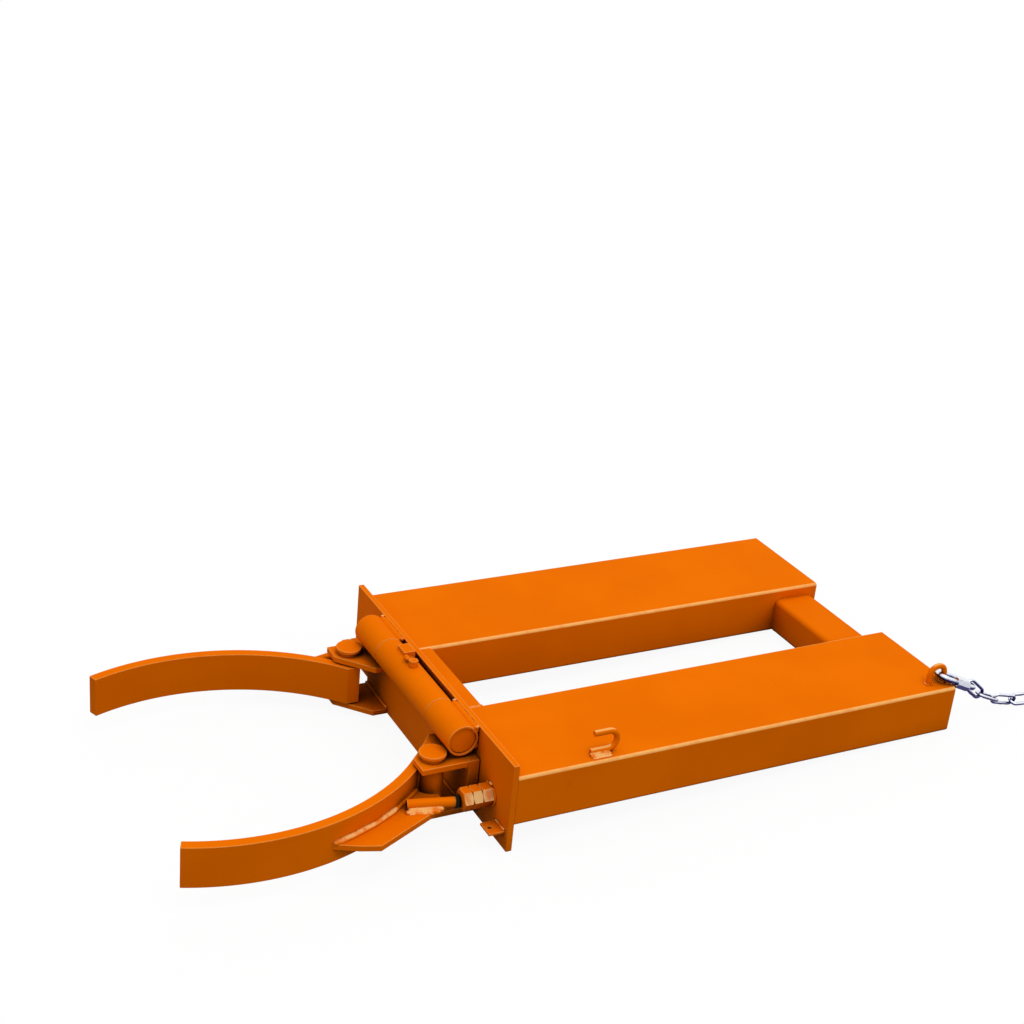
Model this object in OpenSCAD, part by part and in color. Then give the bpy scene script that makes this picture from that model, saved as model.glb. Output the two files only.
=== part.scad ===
// Drum lifter: a fork-mounted clamp that grips a steel drum between two curved jaws.
// The forks enter the sleeves from the rear (+Y) and the drum stands in front (-Y).
// The jaw carrier tilts about the hinge tube. As its tips drop, the adjusting bolts
// in the front plate push the jaw levers and close the jaws round the drum.

/* [Fork sleeves] */
// Outside width of one fork sleeve
sleeve_w = 170; // [150:1:200]
// Outside height of a fork sleeve
sleeve_h = 70; // [62:1:90]
// Length of the fork sleeves
sleeve_l = 685; // [560:5:900]
// Wall of the fork sleeves
sleeve_wall = 5; // [3:0.5:6]
// Outside corner radius of the sleeves
sleeve_corner = 4.5; // [3.5:0.5:8]
// Clear gap between the two sleeves
sleeve_gap = 158; // [140:1:220]

/* [Front plate] */
// Thickness of the front plate
plate_t = 8; // [6:0.5:12]
// Height of the plate above the sleeves
plate_above = 18; // [12:1:26]
// Depth of the plate below the sleeves
plate_below = 37; // [37:1:60]

/* [Cross members] */
// Depth of the cross member behind the plate, along the sleeves
front_member_d = 34; // [25:1:60]
// Width of the rear cross bar, along the sleeves
rear_bar_d = 66; // [40:1:100]
// Height of the rear cross bar
rear_bar_h = 53; // [35:1:60]
// Distance from the rear cross bar to the rear end of the sleeves
rear_bar_inset = 9; // [2:1:40]
// Wall of both cross members
member_wall = 4; // [3:0.5:6]
// Outside corner radius of the cross members
member_corner = 7; // [6.5:0.5:9]

/* [Hinge tube] */
// Outside diameter of the hinge knuckles
knuckle_od = 42.4; // [40:0.1:48]
// Diameter of the hinge pin
hinge_pin_d = 35.9; // [30:0.1:36.5]
// Length of the three knuckles together
hinge_len = 307; // [260:1:330]
// Length of the middle knuckle
centre_len = 163; // [130:1:190]
// Slit between neighbouring knuckles
knuckle_slit = 0.6; // [0.4:0.1:1.5]
// Gap between the hinge tube and the front plate
hinge_off = 1; // [0.6:0.1:3]
// Height of the tube's crown above the top of the plate
hinge_proud = 4.4; // [3:0.2:6]
// How far the pin ends sit inside the tube
pin_recess = 2.5; // [0.5:0.5:4]
// Radial clearance of every pin in a turning bore
run_clear = 0.05; // [0.02:0.01:0.09]

/* [Jaw carrier] */
// Thickness of the carrier bar
bar_t = 15; // [12:0.5:18]
// Gap between the carrier bar and the front plate
bar_gap = 1.5; // [1:0.1:4]
// Thickness of the clevis plates
clevis_t = 8; // [6:0.5:9]
// Distance from the bar's front face to the jaw pivot
pivot_out = 40.5; // [36:0.5:50]
// Distance from the pivot to the front and outer edges of a clevis plate
clevis_nose = 23; // [21:0.5:30]
// Length of a clevis plate's front edge
clevis_front_w = 29; // [24:1:40]
// Width of a clevis plate where it meets the carrier bar
clevis_root_w = 75; // [60:1:90]
// Depth of the straight heel of a clevis plate
clevis_heel = 21.5; // [10:0.5:30]
// Vertical gap between a jaw and its clevis plates
jaw_clear = 2; // [1:0.5:4]
// Largest upward tilt of the carrier, in degrees
tilt_max = 20; // [12:1:24]
// Width of the tilt stop lug on the middle knuckle
stop_lug_w = 23; // [15:1:40]
// Depth of the tilt stop lug
stop_lug_d = 16; // [12:1:20]
// Height of the tilt stop lug above the tube's crown
stop_lug_h = 6; // [5:0.5:10]

/* [Pivot pins] */
// Diameter of the jaw pivot pins
pin_d = 25; // [20:0.5:26]
// Diameter of the pin heads
pin_head_d = 36; // [30:1:40]
// Thickness of the pin heads
pin_head_t = 4; // [3:0.5:7]
// Thickness of the spacer washer under a pin head
spacer_t = 6; // [3:0.5:8]
// Diameter of the spacer washer
spacer_d = 29; // [28:0.5:34]
// Thickness of the washer on the tail of a pin
tail_washer_t = 1.5; // [1:0.1:2]
// Wire of the split pins
split_pin_d = 2.4; // [1.6:0.1:2.6]

/* [Jaws] */
// Radius of the jaw's gripping face
jaw_r = 296; // [280:1:310]
// Thickness of the jaw bar
jaw_t = 14; // [10:0.5:18]
// Height of the jaw bar
jaw_h = 56; // [46:1:57]
// Height of the jaw's middle above the underside of the sleeves
jaw_mid_z = 8; // [7:0.5:12]
// Direction of the jaw tip, seen from the centre of its arc, in degrees
jaw_tip_a = -21.5; // [-30:0.5:-10]
// Direction of the pivot, seen from the centre of the arc, in degrees
jaw_pivot_a = 45.6; // [42:0.2:50]
// Distance from the pivot to the inner end of the jaw bar
jaw_end_in = 26.5; // [22:0.5:30]
// Outside diameter of the jaw hub
hub_od = 32; // [31:0.5:36]
// Distance of the pivot outside the jaw's outer face
hub_out = 12.2; // [9:0.2:15]
// End play of the hub between the clevis plates, each end
hub_play = 0.5; // [0.3:0.1:0.8]

/* [Jaw levers] */
// Thickness of the lever plate
lever_t = 8; // [6:0.5:10]
// Distance of the lever's top below the jaw's middle
lever_drop = 1.5; // [0:0.5:4]
// Width of the lever plate at its front shoulder
lever_front_w = 37.5; // [30:0.5:45]
// Width of the lever plate at its rear corner
lever_rear_w = 48; // [46:0.5:54]
// Room between the lever plate and the hub
lever_hub_room = 5; // [3:0.5:8]
// Diameter of the push rod
rod_d = 13; // [10:0.5:15]
// Length of the push rod
rod_len = 61; // [45:1:62]
// Outward slant of the push rod, in degrees
rod_slant = 13.5; // [8:0.5:15]
// Diameter of the rubber buffer on the push rod
buffer_d = 17.5; // [15:0.5:22]
// Thickness of the rubber buffer
buffer_t = 5.5; // [4.5:0.5:8]
// Crown radius of the buffer's face
buffer_crown = 25; // [22:1:28]
// Gap between the buffer and its bolt head with the jaws closed
buffer_gap = 0.3; // [0.2:0.1:0.6]

/* [Adjusting bolts] */
// Thread diameter of the adjusting bolts
bolt_d = 16; // [12:1:18]
// Hexagon of bolt heads and nuts, across flats
bolt_af = 26; // [24:1:30]
// Thickness of the bolt head
bolt_head_t = 12.5; // [10:0.5:14]
// Thickness of the lock nut
lock_nut_t = 13; // [10:0.5:16]
// Thickness of the nut welded on the plate
weld_nut_t = 16; // [12:0.5:18]
// Length of the bolt under its head
bolt_len = 55; // [40:1:75]
// Distance from the bolt to the side edge of the plate
bolt_edge = 53; // [48:1:75]
// Height of the bolt above the underside of the sleeves
bolt_z = 16; // [15.5:0.5:20]
// Sideways distance from the pivot to the bolt
lever_arm = 56; // [52:0.5:58]

/* [Tabs and chain fittings] */
// Width of the tab on the plate
tab_w = 26; // [18:1:32]
// Depth of the tab
tab_d = 22; // [16:1:30]
// Thickness of the tab
tab_t = 3; // [2:0.5:6]
// Hole in the tab
tab_hole = 6; // [4:0.5:9]
// Distance from the tab to the side edge of the plate
tab_edge = 7; // [2:1:14]
// Distance of the tab's top below the sleeves
tab_drop = 10; // [4:1:20]
// Bar diameter of the chain hook
hook_d = 8; // [6:0.5:10]
// Bend radius of the chain hook, on the bar's axis
hook_r = 13; // [11:0.5:18]
// Length of the hook's straight legs
hook_leg = 24; // [18:1:45]
// How much shorter the hook's upper leg is
hook_tip_back = 3; // [0:0.5:6]
// Distance from the front plate to the hook
hook_from_plate = 109; // [60:1:300]
// Distance from the hook to the sleeve's outer side
hook_inset = 18; // [14:1:40]
// Bar diameter of the chain lug
lug_d = 8; // [6:0.5:8.5]
// Bend radius of the chain lug, on the bar's axis
lug_r = 12.5; // [12:0.5:16]
// Height of the lug's straight legs
lug_leg = 14; // [14:0.5:18]
// Distance from the lug's rear leg to the sleeve's rear end
lug_from_end = 8; // [6:0.5:12]
// Distance from the lug to the sleeve's outer side
lug_inset = 21; // [20:1:40]

/* [Chain] */
// Wire of the quick link
quick_wire = 8; // [7:0.5:8.5]
// Outside length of the quick link
quick_l = 78; // [74:1:84]
// Outside width of the quick link
quick_w = 32; // [30:0.5:36]
// Length of the quick link's nut
quick_nut_l = 25; // [18:1:26]
// Diameter of the quick link's nut across flats
quick_nut_d = 14; // [13:0.5:14.5]
// Wire of the chain
link_wire = 5; // [4:0.1:5.2]
// Outside width of a chain link
link_w = 20; // [19:0.2:21]
// Inside length of a chain link
link_pitch = 34; // [32:0.5:36]
// Number of chain links
link_count = 30; // [10:1:31]

/* [Hidden] */
$fn = 64;
orange = "#ee7200";
dark_rubber = "#1c1a1a";
zinc = "#b9bdc4";
// room left between round pieces that are welded together
weld_gap = 0.1;
// room round a bolt in its nut, and round a pin in its washers
loose_gap = 0.1;
bolt_hole_room = 0.5;
// room left between the tilt stop and the plate at full tilt, in degrees
stop_room_a = 1.2;

plate_w = 2 * sleeve_w + sleeve_gap;
plate_top = sleeve_h + plate_above;
sleeve_x = (sleeve_gap + sleeve_w) / 2;
sleeve_side = plate_w / 2;

hinge_r = knuckle_od / 2;
hinge_y = -(plate_t + hinge_off + hinge_r);
hinge_z = plate_top + hinge_proud - hinge_r;
hinge_bore_d = hinge_pin_d + 2 * run_clear;

bolt_x = plate_w / 2 - bolt_edge;
pivot_x = bolt_x - lever_arm;
bar_back = -(plate_t + bar_gap);
bar_front = bar_back - bar_t;
pivot_y = bar_front - pivot_out;

jaw_top = jaw_mid_z + jaw_h / 2;
jaw_bottom = jaw_mid_z - jaw_h / 2;
upper_clevis_z = jaw_top + jaw_clear;
lower_clevis_z = jaw_bottom - jaw_clear - clevis_t;
carrier_top = upper_clevis_z + clevis_t;
carrier_half = pivot_x + clevis_nose;
// room between the end of the raised middle of the bar and the outer knuckles
saddle_inset = 4;

jaw_outer_r = jaw_r + jaw_t;
pivot_r = jaw_outer_r + hub_out;
arc_x = pivot_x - pivot_r * cos(jaw_pivot_a);
arc_y = pivot_y - pivot_r * sin(jaw_pivot_a);
hub_bore_d = pin_d + 2 * run_clear;
// the bar runs this far past the pivot before its end is cut square to the carrier, in degrees
jaw_root_a = 8;
tip_reach = arc_y + jaw_outer_r * sin(jaw_tip_a);

// directions of the lever plate's corners, seen from the centre of the jaw's arc
lever_tip_a = 12.6;
lever_nose_a = 17.2;
lever_shoulder_a = 20.6;
lever_rear_a = 40.7;
lever_heel_a = 44;
lever_nose_w = 22;
lever_heel_w = 20;
lever_z = jaw_mid_z - lever_drop - lever_t;
rod_z = lever_z + lever_t + rod_d / 2 + weld_gap;

bolt_face_y = -(plate_t + weld_nut_t + lock_nut_t + bolt_head_t);
// centre of the sphere that forms the crown of the buffer
crown_y = bolt_face_y - buffer_gap - buffer_crown;
// how far inside the bolt's axis the crown's centre lies
crown_inset = 6.8;
crown_x = bolt_x - crown_inset;
rod_end = buffer_crown - buffer_t;

// tilt stop: the plate's top edge, seen from the hinge axis
edge_y = -plate_t - hinge_y;
edge_z = plate_top - hinge_z;
edge_r = norm([edge_y, edge_z]);
stop_back = edge_r * sin(atan2(edge_y, edge_z) - tilt_max - stop_room_a);
stop_lug_x = -43;

// grease nipple on the crown of the middle knuckle
nipple_x = -5;
nipple_af = 11;
nipple_h = 9;
nipple_reach = 15;
nipple_turn = 16;
nipple_ball_d = 8.6;
nipple_neck_d = 4.6;

pin_tail = tail_washer_t + split_pin_d + 1.6;
pin_chamfer = 0.8;
split_pin_z = lower_clevis_z - tail_washer_t - split_pin_d / 2 - 0.3;
split_pin_eye = 2.4;
split_pin_over = 7;
tail_washer_d = 35;

hook_x = sleeve_side - hook_inset;
hook_z = sleeve_h + hook_d / 2;
lug_x = sleeve_side - lug_inset;
lug_y = sleeve_l - lug_from_end - lug_r;

// the lifter lies on its plate and the rear ends of its sleeves, so the floor slants
floor_tilt = atan2(plate_below, sleeve_l + plate_t);

// quick link: hung on the lug's rear leg, sloping down behind the sleeve
quick_slope = 24.6;
quick_gap = 0.4;
quick_nut_start = 24;
quick_y = lug_y + lug_r - lug_d / 2 - quick_gap - quick_wire / 2;
quick_z = sleeve_h + 12.8;
quick_span = quick_l - quick_wire;

// chain: each link leaves its neighbour a little slack
link_slack = 0.7;
link_step = link_pitch - link_slack;
link_gap = 0.5;
lie_tilt = 45;
lie_z = (link_w - link_wire) / 2 * sin(lie_tilt) + link_wire / 2 + 0.3;
// how the hanging links share the drop from the quick link to the floor
drop_share = [0.50, 0.32, 0.18];
drop_count = len(drop_share);
// the links that run out straight, then in a slight bend, before the coil
straight_count = 2;
lead_count = 8;
lead_turn = 6;
coil_turn_first = 16;
coil_turn_more = 0.42;

// a point given above the sleeves' rear end, turned into the floor's own frame
function on_floor(p) = [
    p[0],
    (p[1] - sleeve_l) * cos(floor_tilt) + p[2] * sin(floor_tilt),
    p[2] * cos(floor_tilt) - (p[1] - sleeve_l) * sin(floor_tilt)
];
// the first link hangs round the quick link's lower end and points straight away from it
quick_eye = on_floor([
    lug_x,
    quick_y + quick_span * cos(quick_slope),
    quick_z - quick_span * sin(quick_slope)
]);
chain_hang = quick_wire / 2 + link_gap;
chain_drop_z = (quick_eye[2] - lie_z) / (1 - chain_hang * drop_share[0] / link_step);
function link_pitch_a(i) = i < drop_count ? -asin(drop_share[i] * chain_drop_z / link_step) : 0;
function link_turn(i) = i < lead_count ? lead_turn : coil_turn_first + coil_turn_more * (i - lead_count);
function link_yaw(i) = i < straight_count ? 0 : link_yaw(i - 1) + link_turn(i);
function link_dir(i) = [
    sin(link_yaw(i)) * cos(link_pitch_a(i)),
    cos(link_yaw(i)) * cos(link_pitch_a(i)),
    sin(link_pitch_a(i))
];
function link_start(i) = i == 0 ? quick_eye - chain_hang * link_dir(0)
    : link_start(i - 1) + link_step * link_dir(i - 1);
function link_roll(i) = (i % 2) * 90 + lie_tilt * min(max(i - 1, 0) / 3, 1);

// the origin is under the middle of the lifter, level with the bottom of the plate
mid_y = (sleeve_l + tip_reach) / 2;

// Frames and shared shapes

module in_frame() {
    translate([0, -mid_y, plate_below]) children();
}

// The shape is drawn on the right (+X); side is 1 for right and -1 for left.
module on_side(side) {
    if (side > 0) in_frame() children();
    else in_frame() mirror([1, 0, 0]) children();
}

module at_pivot() {
    translate([pivot_x, pivot_y, 0]) children();
}

module at_arc() {
    translate([arc_x, arc_y, 0]) children();
}

module along_hinge() {
    translate([0, hinge_y, hinge_z]) rotate([0, 90, 0]) children();
}

module at_bolt(y) {
    translate([bolt_x, y, bolt_z]) rotate([-90, 0, 0]) children();
}

module rounded_rect(w, h, r) {
    square([w - 2 * r, h], center = true);
    square([w, h - 2 * r], center = true);
    for (x = [-1, 1], y = [-1, 1])
        translate([x * (w / 2 - r), y * (h / 2 - r)]) circle(r);
}

module box_section(w, h, wall, corner, len) {
    linear_extrude(len) difference() {
        rounded_rect(w, h, corner);
        rounded_rect(w - 2 * wall, h - 2 * wall, max(corner - wall, 1));
    }
}

module ring(outer_d, inner_d, len) {
    linear_extrude(len) difference() {
        circle(d = outer_d);
        circle(d = inner_d);
    }
}

module hexagon(af, len) {
    cylinder(d = af / cos(30), h = len, $fn = 6);
}

// A hexagon whose corners are turned off at both ends, as on real bolts and nuts.
module turned_hexagon(af, len) {
    turned_d = af * 0.96;
    wide_d = turned_d + 2 * len / tan(30);
    intersection() {
        hexagon(af, len);
        cylinder(d1 = turned_d, d2 = wide_d, h = len);
        cylinder(d1 = wide_d, d2 = turned_d, h = len);
    }
}

module bend(r, d, angle) {
    rotate_extrude(angle = angle) translate([r, 0]) circle(d = d);
}

// Frame: sleeves, plate and cross members

module fork_sleeve(side) {
    color(orange) on_side(side)
        translate([sleeve_x, 0, sleeve_h / 2]) rotate([-90, 0, 0])
            box_section(sleeve_w, sleeve_h, sleeve_wall, sleeve_corner, sleeve_l);
}

module front_plate() {
    color(orange) in_frame() difference() {
        translate([-plate_w / 2, -plate_t, -plate_below])
            cube([plate_w, plate_t, plate_below + plate_top]);
        for (x = [-bolt_x, bolt_x])
            translate([x, 1, bolt_z]) rotate([90, 0, 0])
                cylinder(d = bolt_d + 2 * bolt_hole_room, h = plate_t + 2);
    }
}

module front_cross_member() {
    color(orange) in_frame()
        translate([-sleeve_gap / 2, front_member_d / 2, sleeve_h / 2]) rotate([0, 90, 0])
            box_section(sleeve_h, front_member_d, member_wall, member_corner, sleeve_gap);
}

module rear_cross_bar() {
    color(orange) in_frame()
        translate([-sleeve_gap / 2, sleeve_l - rear_bar_inset - rear_bar_d / 2, rear_bar_h / 2])
            rotate([0, 90, 0])
                box_section(rear_bar_h, rear_bar_d, member_wall, member_corner, sleeve_gap);
}

// Hinge tube

module hinge_knuckle(side) {
    start = centre_len / 2 + knuckle_slit;
    color(orange) on_side(side) translate([start, 0, 0]) along_hinge()
        ring(knuckle_od, hinge_bore_d, hinge_len / 2 - start);
}

module centre_knuckle() {
    color(orange) in_frame() translate([-centre_len / 2, 0, 0]) along_hinge()
        ring(knuckle_od, hinge_bore_d, centre_len);
}

module chamfered_pin(d, len, chamfer) {
    cylinder(d1 = d - 2 * chamfer, d2 = d, h = chamfer);
    translate([0, 0, chamfer]) cylinder(d = d, h = len - 2 * chamfer);
    translate([0, 0, len - chamfer]) cylinder(d1 = d, d2 = d - 2 * chamfer, h = chamfer);
}

module hinge_pin() {
    half = hinge_len / 2 - pin_recess;
    color(orange) in_frame() translate([-half, 0, 0]) along_hinge()
        chamfered_pin(hinge_pin_d, 2 * half, pin_chamfer);
}

// Adjusting bolts in the front plate

module nut(side, y, len) {
    color(orange) on_side(side) at_bolt(y) difference() {
        turned_hexagon(bolt_af, len);
        translate([0, 0, -1]) cylinder(d = bolt_d + 2 * loose_gap, h = len + 2);
    }
}

module weld_nut(side) {
    nut(side, -plate_t - weld_nut_t, weld_nut_t);
}

module lock_nut(side) {
    nut(side, -plate_t - weld_nut_t - lock_nut_t, lock_nut_t);
}

module adjusting_bolt(side) {
    color(orange) on_side(side) at_bolt(bolt_face_y) {
        turned_hexagon(bolt_af, bolt_head_t);
        translate([0, 0, bolt_head_t]) cylinder(d = bolt_d, h = bolt_len);
    }
}

// Tab on the plate, chain hook and chain lug

module tab(side) {
    x = plate_w / 2 - tab_edge - tab_w / 2;
    hole_out = tab_d * 0.68;
    color(orange) on_side(side) translate([x, -plate_t, -tab_drop - tab_t]) difference() {
        translate([-tab_w / 2, -tab_d, 0]) cube([tab_w, tab_d, tab_t]);
        translate([0, -hole_out, -1]) cylinder(d = tab_hole, h = tab_t + 2);
    }
}

module chain_hook() {
    color(orange) in_frame() translate([hook_x, hook_from_plate, hook_z + weld_gap]) {
        rotate([-90, 0, 0]) cylinder(d = hook_d, h = hook_leg);
        translate([0, hook_tip_back, 2 * hook_r]) rotate([-90, 0, 0])
            cylinder(d = hook_d, h = hook_leg - hook_tip_back);
        translate([0, hook_leg, hook_r]) rotate([0, 90, 0]) bend(hook_r, hook_d, 180);
    }
}

module chain_lug() {
    color(orange) in_frame() translate([lug_x, lug_y, sleeve_h]) {
        for (y = [-lug_r, lug_r])
            translate([0, y, 0]) cylinder(d = lug_d, h = lug_leg);
        translate([0, 0, lug_leg]) rotate([0, -90, 180]) rotate([0, 0, -90]) bend(lug_r, lug_d, 180);
    }
}

// Quick link and chain

// An oval of bent wire in the XY plane, its long axis along Y.
module wire_oval(len, width, wire) {
    r = (width - wire) / 2;
    half = (len - width) / 2;
    translate([0, half, 0]) bend(r, wire, 180);
    translate([0, -half, 0]) rotate([0, 0, 180]) bend(r, wire, 180);
    for (x = [-r, r])
        translate([x, -half, 0]) rotate([-90, 0, 0]) cylinder(d = wire, h = 2 * half);
}

module at_quick_link() {
    translate([lug_x, quick_y, quick_z]) rotate([-quick_slope, 0, 0]) children();
}

module quick_link() {
    color(zinc) in_frame() at_quick_link()
        translate([0, quick_span / 2, 0]) wire_oval(quick_l, quick_w, quick_wire);
}

module quick_link_nut() {
    color(zinc) in_frame() at_quick_link()
        translate([(quick_w - quick_wire) / 2, quick_nut_start, 0]) rotate([-90, 0, 0]) difference() {
            turned_hexagon(quick_nut_d, quick_nut_l);
            translate([0, 0, -1]) cylinder(d = quick_wire + 2 * loose_gap, h = quick_nut_l + 2);
        }
}

module chain_links(first, last) {
    color(zinc) in_frame() translate([0, sleeve_l, 0]) rotate([floor_tilt, 0, 0])
        for (i = [first : last])
            translate(link_start(i) + link_step / 2 * link_dir(i))
                rotate([0, 0, -link_yaw(i)]) rotate([link_pitch_a(i), 0, 0])
                    rotate([0, 90 + link_roll(i), 0])
                        wire_oval(link_pitch + 2 * link_wire, link_w, link_wire);
}

module chain_drop() {
    chain_links(0, lead_count - 1);
}

module chain_coil() {
    chain_links(lead_count, link_count - 1);
}

// Jaw carrier

module carrier_bar() {
    saddle_half = centre_len / 2 - saddle_inset;
    color(orange) in_frame() difference() {
        translate([0, bar_back, 0]) rotate([90, 0, 0]) linear_extrude(bar_t) {
            translate([-carrier_half, lower_clevis_z])
                square([2 * carrier_half, carrier_top - lower_clevis_z]);
            translate([-saddle_half, lower_clevis_z])
                square([2 * saddle_half, hinge_z - lower_clevis_z]);
        }
        translate([-carrier_half, 0, 0]) along_hinge()
            cylinder(r = hinge_r + weld_gap, h = 2 * carrier_half);
    }
}

module clevis(side, z) {
    color(orange) on_side(side) translate([0, 0, z]) linear_extrude(clevis_t) difference() {
        polygon([
            [carrier_half, bar_front],
            [carrier_half, pivot_y - clevis_nose],
            [carrier_half - clevis_front_w, pivot_y - clevis_nose],
            [carrier_half - clevis_root_w, bar_front - clevis_heel],
            [carrier_half - clevis_root_w, bar_front]
        ]);
        translate([pivot_x, pivot_y]) circle(d = pin_d + 2 * run_clear);
    }
}

module upper_clevis(side) {
    clevis(side, upper_clevis_z);
}

module lower_clevis(side) {
    clevis(side, lower_clevis_z);
}

module stop_lug() {
    color(orange) in_frame() difference() {
        translate([stop_lug_x - stop_lug_w / 2, hinge_y + stop_back - stop_lug_d, hinge_z])
            cube([stop_lug_w, stop_lug_d, hinge_r + stop_lug_h]);
        translate([stop_lug_x - stop_lug_w, 0, 0]) along_hinge()
            cylinder(r = hinge_r + weld_gap, h = 2 * stop_lug_w);
    }
}

module grease_nipple() {
    color(orange) in_frame() translate([nipple_x, hinge_y, hinge_z + hinge_r + weld_gap]) {
        hexagon(nipple_af, nipple_h);
        translate([0, 0, nipple_h * 0.6]) rotate([0, 0, nipple_turn]) rotate([0, -90, 0]) {
            cylinder(d = nipple_neck_d, h = nipple_reach);
            translate([0, 0, nipple_reach]) sphere(d = nipple_ball_d);
        }
    }
}

module pivot_pin(side) {
    head_z = carrier_top + spacer_t;
    foot_z = lower_clevis_z - pin_tail;
    color(orange) on_side(side) at_pivot() difference() {
        union() {
            translate([0, 0, foot_z])
                cylinder(d1 = pin_d - 2 * pin_chamfer, d2 = pin_d, h = pin_chamfer);
            translate([0, 0, foot_z + pin_chamfer])
                cylinder(d = pin_d, h = head_z - foot_z - pin_chamfer);
            translate([0, 0, head_z]) cylinder(d = pin_head_d, h = pin_head_t - pin_chamfer);
            translate([0, 0, head_z + pin_head_t - pin_chamfer])
                cylinder(d1 = pin_head_d, d2 = pin_head_d - 2 * pin_chamfer, h = pin_chamfer);
        }
        translate([0, -pin_d, split_pin_z]) rotate([-90, 0, 0])
            cylinder(d = split_pin_d + 2 * loose_gap, h = 2 * pin_d);
    }
}

module spacer_washer(side) {
    color(orange) on_side(side) at_pivot() translate([0, 0, carrier_top])
        ring(spacer_d, pin_d + 2 * loose_gap, spacer_t);
}

module tail_washer(side) {
    color(orange) on_side(side) at_pivot() translate([0, 0, lower_clevis_z - tail_washer_t])
        ring(tail_washer_d, pin_d + 2 * loose_gap, tail_washer_t);
}

module split_pin(side) {
    reach = pin_d / 2 + split_pin_over;
    color(zinc) on_side(side) at_pivot() translate([0, 0, split_pin_z]) {
        translate([0, -reach, 0]) rotate([-90, 0, 0]) cylinder(d = split_pin_d, h = 2 * reach);
        translate([0, reach + split_pin_eye, 0]) bend(split_pin_eye, split_pin_d, 360);
    }
}

// Jaws, with their hubs and levers

module jaw(side) {
    root_a = jaw_pivot_a + jaw_root_a;
    color(orange) on_side(side) difference() {
        at_arc() translate([0, 0, jaw_bottom]) rotate([0, 0, jaw_tip_a])
            rotate_extrude(angle = root_a - jaw_tip_a, $fn = 240)
                translate([jaw_r, 0]) square([jaw_t, jaw_h]);
        at_pivot() translate([0, 0, jaw_bottom - 1]) {
            cylinder(d = hub_od + 2 * weld_gap, h = jaw_h + 2);
            translate([-jaw_end_in - 100, -100, 0]) cube([100, 200, jaw_h + 2]);
        }
    }
}

module jaw_hub(side) {
    bottom = lower_clevis_z + clevis_t + hub_play;
    color(orange) on_side(side) at_pivot() translate([0, 0, bottom])
        ring(hub_od, hub_bore_d, upper_clevis_z - hub_play - bottom);
}

function polar(r, a) = [r * cos(a), r * sin(a)];

module lever_plate(side) {
    color(orange) on_side(side) translate([0, 0, lever_z]) linear_extrude(lever_t) difference() {
        translate([arc_x, arc_y]) polygon([
            polar(jaw_r, lever_tip_a),
            polar(jaw_outer_r, lever_tip_a),
            polar(jaw_outer_r + lever_nose_w, lever_nose_a),
            polar(jaw_outer_r + lever_front_w, lever_shoulder_a),
            polar(jaw_outer_r + lever_rear_w, lever_rear_a),
            polar(jaw_outer_r + lever_heel_w, lever_heel_a),
            polar(jaw_r, lever_heel_a)
        ]);
        translate([arc_x, arc_y]) circle(jaw_outer_r + weld_gap, $fn = 240);
        translate([pivot_x, pivot_y]) circle(hub_od / 2 + lever_hub_room);
    }
}

// The rod's axis runs through the centre of the buffer's crown.
module along_rod() {
    translate([crown_x, crown_y, rod_z]) rotate([0, 0, -rod_slant]) rotate([-90, 0, 0]) children();
}

module push_rod(side) {
    color(orange) on_side(side) along_rod()
        translate([0, 0, rod_end - rod_len]) cylinder(d = rod_d, h = rod_len);
}

module buffer(side) {
    color(dark_rubber) on_side(side) along_rod() intersection() {
        translate([0, 0, rod_end]) cylinder(d = buffer_d, h = buffer_t);
        sphere(r = buffer_crown);
    }
}

fork_sleeve(-1);  // fork_sleeve_left
fork_sleeve(1);  // fork_sleeve_right
front_plate();
front_cross_member();
rear_cross_bar();
hinge_knuckle(-1);  // hinge_knuckle_left
hinge_knuckle(1);  // hinge_knuckle_right
hinge_pin();
weld_nut(-1);  // weld_nut_left
weld_nut(1);  // weld_nut_right
lock_nut(-1);  // lock_nut_left
lock_nut(1);  // lock_nut_right
adjusting_bolt(-1);  // adjusting_bolt_left
adjusting_bolt(1);  // adjusting_bolt_right
tab(-1);  // tab_left
tab(1);  // tab_right
chain_hook();
chain_lug();
quick_link();
quick_link_nut();
chain_drop();
chain_coil();
carrier_bar();
centre_knuckle();
stop_lug();
grease_nipple();
upper_clevis(-1);  // upper_clevis_left
upper_clevis(1);  // upper_clevis_right
lower_clevis(-1);  // lower_clevis_left
lower_clevis(1);  // lower_clevis_right
pivot_pin(-1);  // pivot_pin_left
pivot_pin(1);  // pivot_pin_right
spacer_washer(-1);  // spacer_washer_left
spacer_washer(1);  // spacer_washer_right
tail_washer(-1);  // tail_washer_left
tail_washer(1);  // tail_washer_right
split_pin(-1);  // split_pin_left
split_pin(1);  // split_pin_right
jaw(-1);  // jaw_left
jaw(1);  // jaw_right
jaw_hub(-1);  // jaw_hub_left
jaw_hub(1);  // jaw_hub_right
lever_plate(-1);  // lever_plate_left
lever_plate(1);  // lever_plate_right
push_rod(-1);  // push_rod_left
push_rod(1);  // push_rod_right
buffer(-1);  // buffer_left
buffer(1);  // buffer_right
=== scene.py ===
"""Dresses the drum lifter.

Orange enamel with painted highlights and painted shade, softened edges, weld beads, worn bolts
with painted highlights on their upper flats, the zinc chain and a white studio.
"""

import math
import random

import bmesh
import bpy
from mathutils import Matrix, Vector


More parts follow.
